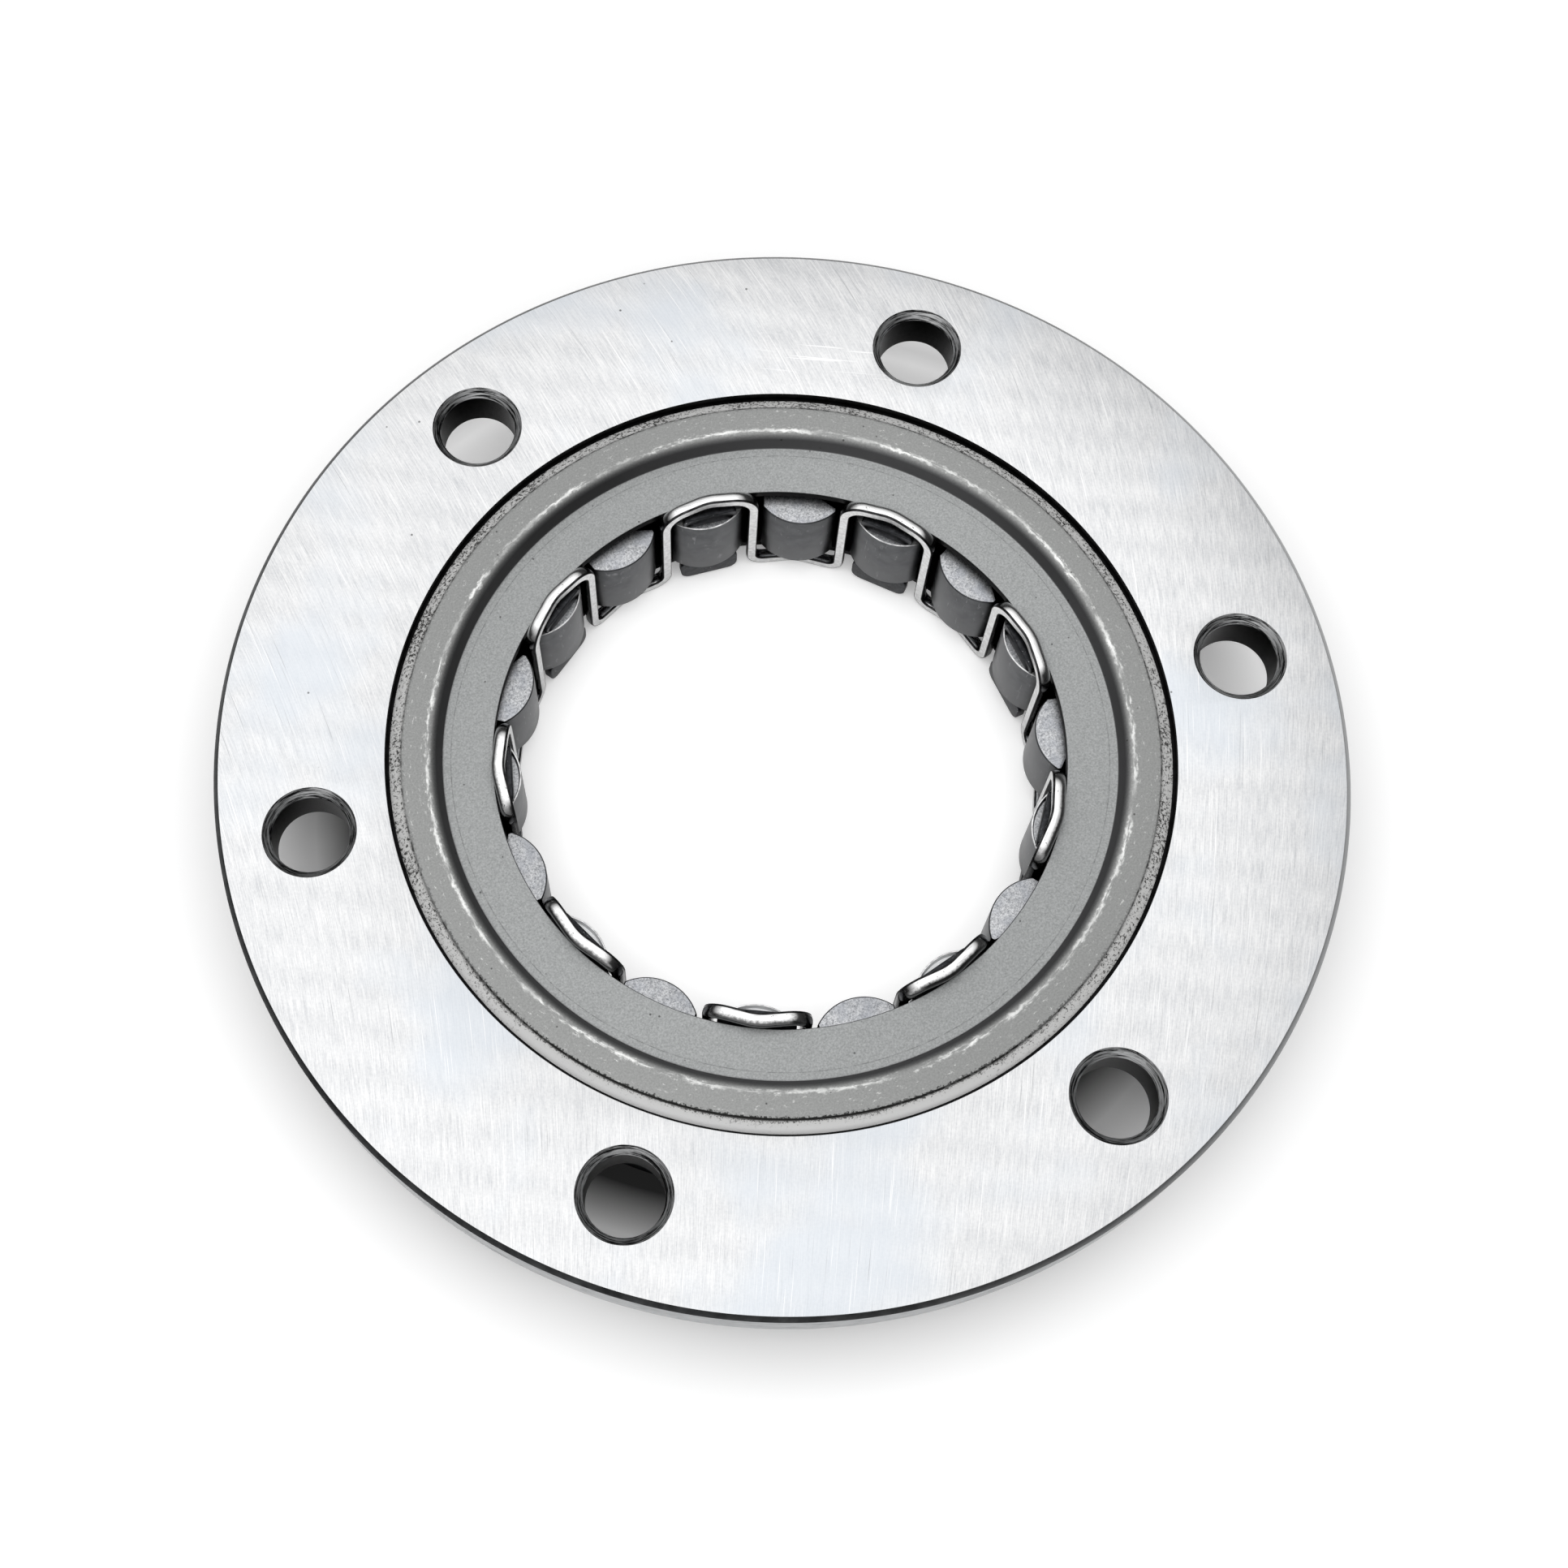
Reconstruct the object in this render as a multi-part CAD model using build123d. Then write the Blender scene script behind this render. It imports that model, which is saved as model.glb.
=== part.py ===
from build123d import *
import os
from math import radians, sqrt, tan

# One-way starter clutch: a flanged outer race with a ring of sprags in a zigzag spring.
# Millimetres. Z is the clutch axis, z = 0 is the hub's lower face, the first bolt hole is on +X.

# Races: the inner race that the clutch takes, and the space between the two races
inner_race_diameter = 57.76
race_space = 8.33
race_edge_chamfer = 0.3

# Pressed cover rings, the same one above and below the sprags
cover_race_gap = 2.65
cover_sheet = 1.0
cover_recess = 0.1
cover_step = 1.8
cover_step_run = 0.64
cover_wall = 1.15
cover_rim_width = 3.88
cover_bevel_width = 1.4
cover_bevel_land = 0.15
cover_shoulder_round = 0.75
cover_corner_round = 0.25
cover_opening_round = 0.12
cover_pocket_gap = 0.35
cover_fit = 0.03

# Outer race, built outward from the covers: a hub, six holes round it and a flange beyond them
total_height = 17.5
hub_wall = 3.07
hub_edge_chamfer = 0.6
hub_root_fillet = 1.0
flange_reach = 15.7
flange_thickness = 6.5
flange_edge_chamfer = 0.55
bolt_count = 6
bolt_hub_gap = 0.55
bolt_hole_diameter = 8.5
bolt_hole_chamfer = 0.9
bore_edge_break = 0.12

# Sprags, spaced evenly round the race, every other one with a tongue
sprag_pairs = 9
sprag_race_clearance = 0.05
sprag_preload = 0.3
outer_head_radius = 4.4
head_offset = 1.0
head_half_width = 4.3
neck_half_width = 3.4
inner_cam_radius = 5.64
cam_half_width = 4.25
cam_flat = 0.45
neck_rise = 1.6
sprag_edge = 0.12
plain_end_gap = 0.95
tongue_upper_gap = 0.4
tongue_lower_gap = 1.3
tongue_cover_gap = 0.89
tongue_thickness = 1.1
tongue_upper_width = 6.3
tongue_lower_width = 6.9
tongue_upper_recess = 2.1
tongue_lower_recess = 0.55
tongue_upper_corner = 0.4
tongue_lower_corner = 1.1
tongue_root = 2.0
dish_depth = 0.55
dish_lip = 0.14

# Zigzag spring of flattened wire, kinked over the middle of each sprag
wire_width = 1.24
wire_thickness = 1.47
wire_outer_round = 0.55
wire_bend_radius = 1.52
wire_cover_gap = 0.19
wire_end_gap = 0.36

# Where the sprag set stands in the outer race, measured from the first bolt hole
sprag_set_angle = 13.4

sprag_count = 2 * sprag_pairs
sprag_pitch = 360 / sprag_count
middle_height = total_height / 2
race_radius = inner_race_diameter / 2 + race_space
cover_shoulder_inner_radius = race_radius + cover_step_run
cover_step_radius = cover_shoulder_inner_radius + cover_wall
cover_outer_radius = cover_step_radius + cover_rim_width
cover_opening_radius = inner_race_diameter / 2 + cover_race_gap
cover_pocket_radius = cover_outer_radius + cover_pocket_gap
cover_top = total_height - cover_recess
plate_top = cover_top - cover_step
plate_under = plate_top - cover_sheet
rim_under = cover_top - cover_sheet
race_pocket_radius = cover_step_radius + cover_fit
hub_radius = cover_pocket_radius + hub_wall
bolt_mouth_radius = bolt_hole_diameter / 2 + bolt_hole_chamfer
bolt_circle_radius = hub_radius + bolt_hub_gap + bolt_mouth_radius
flange_radius = hub_radius + flange_reach
flange_under = total_height - flange_thickness
free_bore_radius = inner_race_diameter / 2 - sprag_preload
pivot_radius = race_radius - sprag_race_clearance - outer_head_radius
pivot_reach = sqrt(pivot_radius ** 2 - head_offset ** 2)
cam_centre_radius = free_bore_radius + inner_cam_radius
tongue_front_radius = cover_opening_radius - tongue_cover_gap - tongue_thickness
wire_leg_distance = cover_opening_radius - wire_cover_gap - wire_thickness / 2


def turned(points):
    """Solid of revolution about Z from (radius, height) points."""
    outline = Polyline(*[(radius, 0, height) for radius, height in points], close=True)
    return revolve(make_face(outline), Axis.Z, 360)


def flipped(shape):
    """The same piece turned over about the middle plane of the clutch."""
    return mirror(shape, Plane.XY.offset(middle_height))


def countersunk_hole():
    """Cutter for one bolt hole, chamfered on both faces of the flange."""
    hole_radius = bolt_hole_diameter / 2
    overrun = 1.0
    return turned([
        (0, flange_under - overrun),
        (bolt_mouth_radius + overrun, flange_under - overrun),
        (hole_radius, flange_under + bolt_hole_chamfer),
        (hole_radius, total_height - bolt_hole_chamfer),
        (bolt_mouth_radius + overrun, total_height + overrun),
        (0, total_height + overrun),
    ])


def circles(body, radius, height):
    """The body's round edges about Z of that radius and height."""
    return body.edges().filter_by(GeomType.CIRCLE).filter_by(
        lambda edge: abs(edge.radius - radius) < 0.01 and abs(edge.center().Z - height) < 0.01
    )


def outer_race_flange():
    """Flange, hub and raceway turned from one blank, then drilled."""
    pocket = [
        (cover_pocket_radius, total_height),
        (cover_pocket_radius, rim_under),
        (race_pocket_radius, rim_under),
        (race_pocket_radius, plate_under),
        (race_radius + race_edge_chamfer, plate_under),
        (race_radius, plate_under - race_edge_chamfer),
    ]
    mirrored_pocket = [(radius, total_height - height) for radius, height in reversed(pocket)]
    outside = [
        (hub_radius - hub_edge_chamfer, 0),
        (hub_radius, hub_edge_chamfer),
        (hub_radius, flange_under),
        (flange_radius - flange_edge_chamfer, flange_under),
        (flange_radius, flange_under + flange_edge_chamfer),
        (flange_radius, total_height - flange_edge_chamfer),
        (flange_radius - flange_edge_chamfer, total_height),
    ]
    body = turned(pocket + mirrored_pocket + outside)
    body = fillet(circles(body, hub_radius, flange_under), hub_root_fillet)
    mouths = circles(body, cover_pocket_radius, total_height) + circles(body, cover_pocket_radius, 0)
    body = chamfer(mouths, bore_edge_break)
    return body - PolarLocations(bolt_circle_radius, bolt_count) * countersunk_hole()


def cover_ring():
    """Pressed ring: a bevelled rim, a rounded step down and a flat plate over the sprags."""
    rim_inner = cover_shoulder_inner_radius + cover_shoulder_round
    shoulder_foot = cover_top - cover_shoulder_round
    body = turned([
        (cover_opening_radius, plate_under),
        (cover_opening_radius, plate_top),
        (race_radius, plate_top),
        (cover_shoulder_inner_radius, shoulder_foot),
        (rim_inner, cover_top),
        (cover_outer_radius - cover_bevel_width, cover_top),
        (cover_outer_radius, rim_under + cover_bevel_land),
        (cover_outer_radius, rim_under),
        (cover_step_radius, rim_under),
        (cover_step_radius, plate_under),
    ])
    shoulder = circles(body, rim_inner, cover_top)
    shoulder += circles(body, cover_shoulder_inner_radius, shoulder_foot)
    body = fillet(shoulder, cover_shoulder_round * 0.45)
    body = fillet(circles(body, race_radius, plate_top), cover_corner_round)
    opening = circles(body, cover_opening_radius, plate_top) + circles(body, cover_opening_radius, plate_under)
    return fillet(opening, cover_opening_round)


def sprag_section():
    """Plan of a sprag, +Y outward: an inner cam, a neck and an outer head set off to one side."""
    cam_side = cam_centre_radius - sqrt(inner_cam_radius ** 2 - cam_half_width ** 2)
    head_side = pivot_reach + sqrt(outer_head_radius ** 2 - head_half_width ** 2)
    neck_height = cam_side + neck_rise

    def side(sign):
        return [
            (sign * cam_half_width, cam_side),
            (sign * cam_half_width, cam_side + cam_flat),
            (sign * neck_half_width - head_offset, neck_height),
            (sign * head_half_width - head_offset, head_side),
        ]

    right = side(1)
    left = side(-1)
    crown = ThreePointArc(right[-1], (-head_offset, pivot_reach + outer_head_radius), left[-1])
    cam = ThreePointArc(left[0], (0, free_bore_radius), right[0])
    return make_face(Curve() + [Polyline(*right), crown, Polyline(*reversed(left)), cam])


def sprag_block(low, high):
    """The sprag's section carried from one height to the other, with its end edges broken."""
    block = extrude(sprag_section(), amount=high - low)
    block = chamfer(block.edges().group_by(Axis.Z)[0] + block.edges().group_by(Axis.Z)[-1], sprag_edge)
    return Pos(0, 0, low) * block


def tongue(low, high, width, corner):
    """Flat tongue standing on a sprag's end, its corners rounded."""
    plate = Pos(0, tongue_front_radius + tongue_thickness / 2, (low + high) / 2) * Box(
        width, tongue_thickness, high - low
    )
    return fillet(plate.edges().filter_by(Axis.Y), corner)


def dish(high):
    """Hollow between the cam's lip and the tongue, its sides sloping at 45 degrees."""
    back = tongue_front_radius + tongue_thickness / 2
    reach = back - free_bore_radius
    cam = Pos(0, cam_centre_radius) * Circle(inner_cam_radius - dish_lip)
    window = Pos(0, back - reach / 2) * Rectangle(tongue_upper_width - 2 * dish_lip, reach)
    return Pos(0, 0, high) * extrude(cam & window, amount=dish_depth, dir=(0, 0, -1), taper=45)


def plain_sprag():
    """Sprag with two flat ends, which the wire passes underneath."""
    high = plate_under - plain_end_gap
    return sprag_block(total_height - high, high)


def tongue_sprag():
    """Sprag with a tongue through it: short under the wire, long at the lower end."""
    low = total_height - plate_under + tongue_lower_gap
    high = plate_under - tongue_upper_gap
    upper = tongue(high - tongue_root, total_height - tongue_upper_recess, tongue_upper_width, tongue_upper_corner)
    lower = tongue(tongue_lower_recess, low + tongue_root, tongue_lower_width, tongue_lower_corner)
    return sprag_block(low, high) - dish(high) + upper + lower


def spring_facet(top_run_first):
    """One flat stretch of the spring: half a run, a leg and half of the next run."""
    half_angle = radians(sprag_pitch / 2)
    half_length = wire_leg_distance * tan(half_angle)
    overrun = wire_thickness
    high = total_height - wire_end_gap - wire_width / 2
    low = wire_end_gap + wire_width / 2
    start, finish = (high, low) if top_run_first else (low, high)
    route = FilletPolyline(
        (-half_length - overrun, wire_leg_distance, start),
        (0, wire_leg_distance, start),
        (0, wire_leg_distance, finish),
        (half_length + overrun, wire_leg_distance, finish),
        radius=wire_bend_radius,
    )
    start_plane = Plane(origin=route @ 0, x_dir=(0, 1, 0), z_dir=route % 0)
    section = Rectangle(wire_thickness, wire_width)
    section = fillet(section.vertices().group_by(Axis.X)[-1], wire_outer_round)
    bar = sweep(start_plane * section, path=route)
    reach = 2 * wire_leg_distance
    spread = reach * tan(half_angle)
    wedge = extrude(make_face(Polyline((0, 0), (spread, reach), (-spread, reach), close=True)), total_height)
    return bar & wedge


def meander_spring():
    """Closed zigzag: its runs pass over one sprag and under the next."""
    facets = [
        Rot(0, 0, -(index + 0.5) * sprag_pitch) * spring_facet(index % 2 == 0)
        for index in range(sprag_count)
    ]
    return facets[0].fuse(*facets[1:])


def placed(shape):
    """Turn a piece of the sprag set from +Y to its place in the outer race."""
    return Rot(0, 0, sprag_set_angle - 90) * shape


os.makedirs("parts", exist_ok=True)

export_step(outer_race_flange(), "parts/outer_race_flange.step")
export_step(cover_ring(), "parts/front_cover_ring.step")
export_step(flipped(cover_ring()), "parts/rear_cover_ring.step")
export_step(placed(meander_spring()), "parts/meander_spring.step")

sprag_kinds = [tongue_sprag(), plain_sprag()]
for index in range(sprag_count):
    sprag = Rot(0, 0, -index * sprag_pitch) * sprag_kinds[index % 2]
    export_step(placed(sprag), f"parts/sprag_{index + 1:02d}.step")
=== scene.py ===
import math
import bpy
import numpy as np
from mathutils import Matrix, Vector


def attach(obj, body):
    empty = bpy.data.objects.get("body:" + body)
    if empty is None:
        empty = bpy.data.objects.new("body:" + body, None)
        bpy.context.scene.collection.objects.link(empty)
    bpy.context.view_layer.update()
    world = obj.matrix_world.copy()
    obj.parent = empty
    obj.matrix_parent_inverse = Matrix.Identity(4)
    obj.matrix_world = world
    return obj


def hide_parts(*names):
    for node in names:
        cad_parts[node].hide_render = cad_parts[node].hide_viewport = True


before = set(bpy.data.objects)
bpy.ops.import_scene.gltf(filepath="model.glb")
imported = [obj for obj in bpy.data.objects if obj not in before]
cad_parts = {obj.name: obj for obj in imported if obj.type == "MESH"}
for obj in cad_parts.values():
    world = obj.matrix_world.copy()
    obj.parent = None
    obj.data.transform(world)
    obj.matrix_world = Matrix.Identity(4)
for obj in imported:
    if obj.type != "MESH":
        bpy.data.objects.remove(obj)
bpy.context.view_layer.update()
mm = 0.001
scene = bpy.context.scene
scene.view_settings.view_transform = "Standard"
print("frame loaded:", len(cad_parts), "nodes")


# The photograph's camera stands at the azimuth below, and the first bolt hole of the part lies on +X,
# so patterns that follow the photograph are turned by photoTurn.
view = {
    "azimuth": -107.77,   # degrees round +Z
    "reach": 89.45 * mm,   # from the clutch axis, sideways
    "height": 250.1 * mm,   # above the floor
    "aimAzimuth": -171.96,   # the point of the flange that the lens axis meets
    "aimReach": 13.01 * mm,
    "aimHeight": 17.5 * mm,
    "roll": -1.498,   # degrees, picture turned about the lens axis
    "lens": 52.30,   # mm on a sensor of the width below
    "sensor": 36,
    "shift": (0.0740, -0.0024),
    "nearest": 0.01,
}
photoTurn = math.radians(-90 - view["azimuth"])
cameraSide = math.radians(view["azimuth"])


def polar(reach, azimuth, height):  # a point from its distance to the axis, its azimuth and its height
    turn = math.radians(azimuth)
    return Vector((reach * math.cos(turn), reach * math.sin(turn), height))


def makeCamera():
    place = polar(view["reach"], view["azimuth"], view["height"])
    ahead = (polar(view["aimReach"], view["aimAzimuth"], view["aimHeight"]) - place).normalized()
    level = ahead.cross(Vector((0, 0, 1))).normalized()
    upright = level.cross(ahead)
    roll = math.radians(view["roll"])
    right = level * math.cos(roll) + upright * math.sin(roll)
    above = right.cross(ahead)
    turn = Matrix((right, above, -ahead)).transposed()
    data = bpy.data.cameras.new("photoCamera")
    data.sensor_width = view["sensor"]
    data.lens = view["lens"]
    data.shift_x, data.shift_y = view["shift"]
    data.clip_start = view["nearest"]
    camera = bpy.data.objects.new("photoCamera", data)
    camera.matrix_world = Matrix.Translation(place) @ turn.to_4x4()
    scene.collection.objects.link(camera)
    scene.camera = camera


makeCamera()
print("camera placed")


# Shader helpers. Inputs are a list from the first socket on, or a dictionary by name or number.

def srgb(code):  # hex colour to linear values
    parts = [int(code[k:k + 2], 16) / 255 for k in (1, 3, 5)]
    return tuple(c / 12.92 if c <= 0.04045 else ((c + 0.055) / 1.055) ** 2.4 for c in parts) + (1.0,)


def addNode(tree, kind, inputs=(), output=0, **settings):  # one node with its links, values and settings
    node = tree.nodes.new("ShaderNode" + kind)
    for name, value in settings.items():
        setattr(node, name, value)
    for key, value in inputs.items() if isinstance(inputs, dict) else enumerate(inputs):
        if isinstance(value, bpy.types.NodeSocket):
            tree.links.new(value, node.inputs[key])
        else:
            node.inputs[key].default_value = value
    return node if output is None else node.outputs[output]


def newMaterial(name):
    material = bpy.data.materials.new(name)
    material.use_nodes = True
    material.node_tree.nodes.clear()
    return material, material.node_tree


def millimetres(tree, turn=0.0, stretch=(1, 1, 1)):  # object coordinates in millimetres, turned about Z
    place = addNode(tree, "TexCoord", output="Object")
    scale = tuple(1000 * s for s in stretch)
    return addNode(tree, "Mapping", {"Vector": place, "Rotation": (0, 0, turn), "Scale": scale})


def fromAxis(tree, place):  # a point's three values, its place in plan and its distance from the axis
    axes = addNode(tree, "SeparateXYZ", [place], None).outputs
    flat = addNode(tree, "CombineXYZ", [axes[0], axes[1]])
    return axes, flat, addNode(tree, "VectorMath", [flat], "Value", operation="LENGTH")


def towards(tree, place, azimuth):  # how far a point lies on the side of an azimuth, in mm
    side = (math.cos(azimuth), math.sin(azimuth), 0)
    return addNode(tree, "VectorMath", [place, side], "Value", operation="DOT_PRODUCT")


def within(tree, value, low, high, fade):  # 1 between low and high, with soft ends
    start = addNode(tree, "MapRange", [value, low, low + fade])
    end = addNode(tree, "MapRange", [value, high - fade, high, 1.0, 0.0])
    return addNode(tree, "Math", [start, end], operation="MULTIPLY")


# Lays one finish over another by a mask. With a fade, the mask is any value and the fade its limits, then
# what it becomes at each. A share is a second mask or an amount that the first is multiplied by.
def layOver(tree, under, over, mask, *fade, share=None):
    if fade:
        mask = addNode(tree, "MapRange", [mask, *fade])
    if share is not None:
        mask = addNode(tree, "Math", [mask, share], operation="MULTIPLY")
    under, over = (srgb(colour) if isinstance(colour, str) else colour for colour in (under, over))
    return addNode(tree, "Mix", {0: mask, 6: under, 7: over}, 2, data_type="RGBA")


# Height is the pattern that roughens the surface, depth its size in mm. Anisotropy stretches the
# highlights across marks that run round the clutch axis.
def finishMetal(tree, colour, roughness, height=None, depth=0.02, anisotropy=0.0, metallic=1.0):
    inputs = {"Base Color": colour, "Roughness": roughness, "Metallic": metallic, "Anisotropic": anisotropy,
              "Anisotropic Rotation": 0.25}
    if anisotropy:
        inputs["Tangent"] = addNode(tree, "Tangent", direction_type="RADIAL", axis="Z")
    if height is not None:
        inputs["Normal"] = addNode(tree, "Bump", {"Strength": 1.0, "Distance": depth * mm, "Height": height})
    addNode(tree, "OutputMaterial", {"Surface": addNode(tree, "BsdfPrincipled", inputs)}, None)


noiseSpan = (0.3, 0.7)   # nearly all values of a noise lie between these


# Sizes of the outer race, in millimetres. An arris is the small round on an outer corner.
race = {
    "top": 17.5, "flange": 62.0, "underside": 11.0, "edge": 0.55, "hub": 46.3, "hubEdge": 0.6, "root": 1.0,
    "pocket": 43.23, "pocketDepth": 1.1, "shelf": 39.03, "shelfDepth": 2.9, "raceway": 37.21,
    "bolts": 6, "boltCircle": 52.0, "hole": 4.25, "mouth": 5.15, "countersink": 0.9, "overshoot": 1.5,
    "arris": 0.08, "topArris": 0.06, "pocketRound": 0.10, "racewayRound": 0.3, "holeRound": 0.10,
    "steps": 480, "arcSteps": 3, "holeSteps": 96, "holeArcSteps": 4, "sharp": 28,
}


# Bearing steel, surface ground on a rotary table: fine curved marks, nearly white under a soft light.
# Its soft bluish clouds and faint wavy bands are painted reflection.
groundFinish = {
    # The cloud colour is a painted reflection, a bluish tint
    "pale": "#FBFBFB", "shade": "#C6C8CB", "cloud": "#D9E0E8", "speck": "#4E4E4D",
    "darkHair": "#A4A6A8", "paleHair": "#FFFFFF", "middle": 0.60,
    "lean": 0.27, "leanAcross": -0.0054, "leanUp": 0.0036,   # slope of the marks and its change per mm
    "markSpacing": 0.17, "markLength": 2.6, "markDepth": 0.0014, "reflectionBandSpacing": 4.6,
    "roughness": (0.27, 0.38),
    "scuffAcross": (-9, 12), "scuffUp": (45.5, 51.5),   # where the light handling scratches lie, in mm
    "scuffTurn": 0.05, "scuffGrain": (0.09, 4.5, 1.0), "specksPerMm": 0.19,
}


def groundSteel():
    f = groundFinish
    material, tree = newMaterial("groundBearingSteel")
    place = millimetres(tree, photoTurn)
    axes = addNode(tree, "SeparateXYZ", [place], None).outputs
    across, up = axes[0], axes[1]
    slope = addNode(tree, "Math", [up, f["leanUp"] / 2, f["lean"]], operation="MULTIPLY_ADD")
    slope = addNode(tree, "Math", [across, f["leanAcross"], slope], operation="MULTIPLY_ADD")
    line = addNode(tree, "Math", [up, slope, across], operation="MULTIPLY_ADD")

    def marks(width, length, detail, rough):  # noise drawn out along the grinding direction
        at = addNode(tree, "CombineXYZ", [
            addNode(tree, "Math", [line, f["markSpacing"] * width], operation="DIVIDE"),
            addNode(tree, "Math", [up, f["markLength"] * length], operation="DIVIDE")])
        return addNode(tree, "TexNoise", {"Vector": at, "Scale": 1.0, "Detail": detail, "Roughness": rough})

    fine = marks(1, 1, 3.0, 0.75)
    broad = marks(5, 5, 2.0, 0.5)
    hairs = marks(1, 4, 1.0, 0.5)
    cloud = addNode(tree, "TexNoise", {"Vector": place, "Scale": 0.05, "Detail": 3, "Roughness": 0.55})
    speckle = addNode(tree, "TexNoise", {"Vector": place, "Scale": 3.2, "Detail": 3, "Roughness": 0.7})
    # Painted reflection: faint wavy bands across the face
    reflectionBands = addNode(tree, "TexWave", {
        "Vector": place, "Scale": 0.314 / f["reflectionBandSpacing"], "Distortion": 3.0, "Detail": 2,
        "Detail Scale": 0.12}, 1, bands_direction="Y")   # 0.314 is the scale of a wave 1 long
    tone = f["middle"]
    for pattern, span, depth in ((fine, noiseSpan, 0.42), (broad, noiseSpan, 0.07), (reflectionBands, (0, 1), 0.05),
                                 (speckle, noiseSpan, 0.14), (cloud, noiseSpan, 0.12)):
        share = addNode(tree, "MapRange", [pattern, *span, -depth, depth])
        tone = addNode(tree, "Math", [share, tone], operation="ADD")
    colour = layOver(tree, f["shade"], f["pale"], tone)
    # Painted reflection: a bluish tint laid over the soft clouds
    colour = layOver(tree, colour, f["cloud"], cloud, 0.50, 0.66, 0, 0.6)
    colour = layOver(tree, colour, f["darkHair"], hairs, 0.22, 0.32, 0.55, 0)
    colour = layOver(tree, colour, f["paleHair"], hairs, 0.66, 0.73, 0, 0.9)
    scuffAt = addNode(tree, "Mapping", {
        "Vector": place, "Rotation": (0, 0, f["scuffTurn"]), "Scale": f["scuffGrain"]})
    scuffs = addNode(tree, "TexNoise", {"Vector": scuffAt, "Scale": 1.0, "Detail": 1})
    area = addNode(tree, "Math", [within(tree, across, *f["scuffAcross"], 4),
                                  within(tree, up, *f["scuffUp"], 1.5)], operation="MULTIPLY")
    colour = layOver(tree, colour, f["paleHair"], scuffs, 0.64, 0.70, 0, 0.9, share=area)
    cells = addNode(tree, "TexVoronoi", {"Vector": place, "Scale": f["specksPerMm"]}, "Distance")
    colour = layOver(tree, colour, f["speck"], cells, 0.018, 0.034, 1, 0, share=0.8)
    roughness = addNode(tree, "MapRange", [fine, *noiseSpan, *f["roughness"]])
    finishMetal(tree, colour, roughness, fine, f["markDepth"])
    return material


# Turned steel: fine rings and a few handling marks. The flange's edge is paler than the hub and the flange's
# underside, which are painted near black as painted shade under the flange.
def turnedSteel(name, dark, pale, stainAndShade, rough=0.28):
    material, tree = newMaterial(name)
    ringPlace = millimetres(tree, 0.0, (0.03, 0.03, 3.5))
    rings = addNode(tree, "TexNoise", {"Vector": ringPlace, "Scale": 1.0, "Detail": 3, "Roughness": 0.6})
    place = millimetres(tree)
    scuffs = addNode(tree, "TexNoise", {"Vector": place, "Scale": 0.45, "Detail": 4, "Roughness": 0.65})
    colour = layOver(tree, dark, pale, rings, *noiseSpan)
    colour = layOver(tree, colour, stainAndShade, scuffs, 0.54, 0.72, 0, 0.5)
    roughness = addNode(tree, "MapRange", [scuffs, *noiseSpan, rough, rough + 0.14])
    finishMetal(tree, colour, roughness, rings, 0.004)
    return material


# The flange's broken edge: painted near black at the front and paler round to the right, a painted
# reflection of dark and bright surroundings
def brokenEdge():
    material, tree = newMaterial("brokenEdgeSteel")
    place = millimetres(tree)
    wearAndSheen = addNode(tree, "TexNoise", {"Vector": place, "Scale": 0.5, "Detail": 3, "Roughness": 0.6})
    right = towards(tree, place, cameraSide + math.pi / 2)
    colour = layOver(tree, "#2C2D2E", "#4A4B4C", wearAndSheen, *noiseSpan)
    # Painted reflection: paler towards the right of the picture
    colour = layOver(tree, colour, "#A0A1A2", right, 18, 52, 0, 0.85)
    finishMetal(tree, colour, 0.34)
    return material


# Drilled and countersunk hole walls: the cone keeps bright tool rings, the bore is painted nearly black,
# painted shade deep in the hole
def drilledSteel():
    material, tree = newMaterial("drilledHoleSteel")
    ringPlace = millimetres(tree, 0.0, (0.25, 0.25, 6.0))
    rings = addNode(tree, "TexNoise", {"Vector": ringPlace, "Scale": 1.0, "Detail": 4, "Roughness": 0.75})
    height = addNode(tree, "SeparateXYZ", [millimetres(tree)], 2)
    fade = 0.1
    lowest = race["underside"] + race["countersink"] - fade
    bore = within(tree, height, lowest, race["top"] - race["countersink"], fade)
    cone = layOver(tree, "#161617", "#D8D9DA", rings, 0.44, 0.56)
    # Painted shade: the bore's wall nearly black
    shadedWall = layOver(tree, "#151516", "#202021", rings, 0.35, 0.7)
    metallic = addNode(tree, "MapRange", [bore, 0, 1, 0.9, 1.0])
    finishMetal(tree, layOver(tree, cone, shadedWall, bore), 0.36, rings, 0.012, 0, metallic)
    return material


# Metal with two tones in soft patches, so many to a mm
def patchySteel(name, dark, pale, patchesPerMm, rough, roughness, depth=0.0):
    material, tree = newMaterial(name)
    patches = addNode(tree, "TexNoise", {
        "Vector": millimetres(tree), "Scale": patchesPerMm, "Detail": 3, "Roughness": rough})
    colour = layOver(tree, dark, pale, patches, *noiseSpan)
    finishMetal(tree, colour, roughness, patches if depth else None, depth)
    return material


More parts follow.
